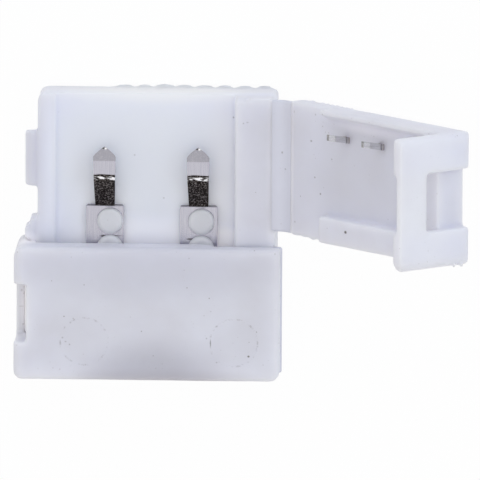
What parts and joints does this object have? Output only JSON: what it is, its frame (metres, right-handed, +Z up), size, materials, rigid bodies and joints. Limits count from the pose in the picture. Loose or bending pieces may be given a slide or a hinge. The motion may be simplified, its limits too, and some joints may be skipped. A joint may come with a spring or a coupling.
{
  "type": "led strip connector",
  "caption": "Solderless connector that joins two 10 mm LED strips end to end, with a hinged snap cover over each strip end.",
  "frame": {"origin": "centre of the base's flat underside", "axes": "+Z up from the underside, +Y along the strip towards the end whose cover stands open, +X towards the hinge side"},
  "size_m": [0.0266, 0.0164, 0.0185],
  "materials": {
    "milky_nylon": "natural milky nylon as moulded, slightly translucent, with a soft satin sheen",
    "tinned_bronze": "tin-plated stamped phosphor bronze"
  },
  "bodies": {
    "base": {"base_housing": "milky_nylon", "contact_left": "tinned_bronze", "contact_right": "tinned_bronze", "far_living_hinge": "milky_nylon", "near_living_hinge": "milky_nylon"},
    "far_cover": {"far_cover": "milky_nylon", "far_outer_grip_pin": "tinned_bronze", "far_inner_grip_pin": "tinned_bronze"},
    "near_cover": {"near_cover": "milky_nylon", "near_outer_grip_pin": "tinned_bronze", "near_inner_grip_pin": "tinned_bronze"}
  },
  "joints": [
    {"name": "far_cover_hinge", "type": "hinge", "parent": "base", "child": "far_cover", "pos_m": [0.00735, 0, 0.00422], "axis": [0, 1, 0], "range_deg": [-132, 48], "deforming": ["far_living_hinge"]},
    {"name": "near_cover_hinge", "type": "hinge", "parent": "base", "child": "near_cover", "pos_m": [0.00735, 0, 0.00422], "axis": [0, 1, 0], "range_deg": [0, 180], "deforming": ["near_living_hinge"]}
  ]
}
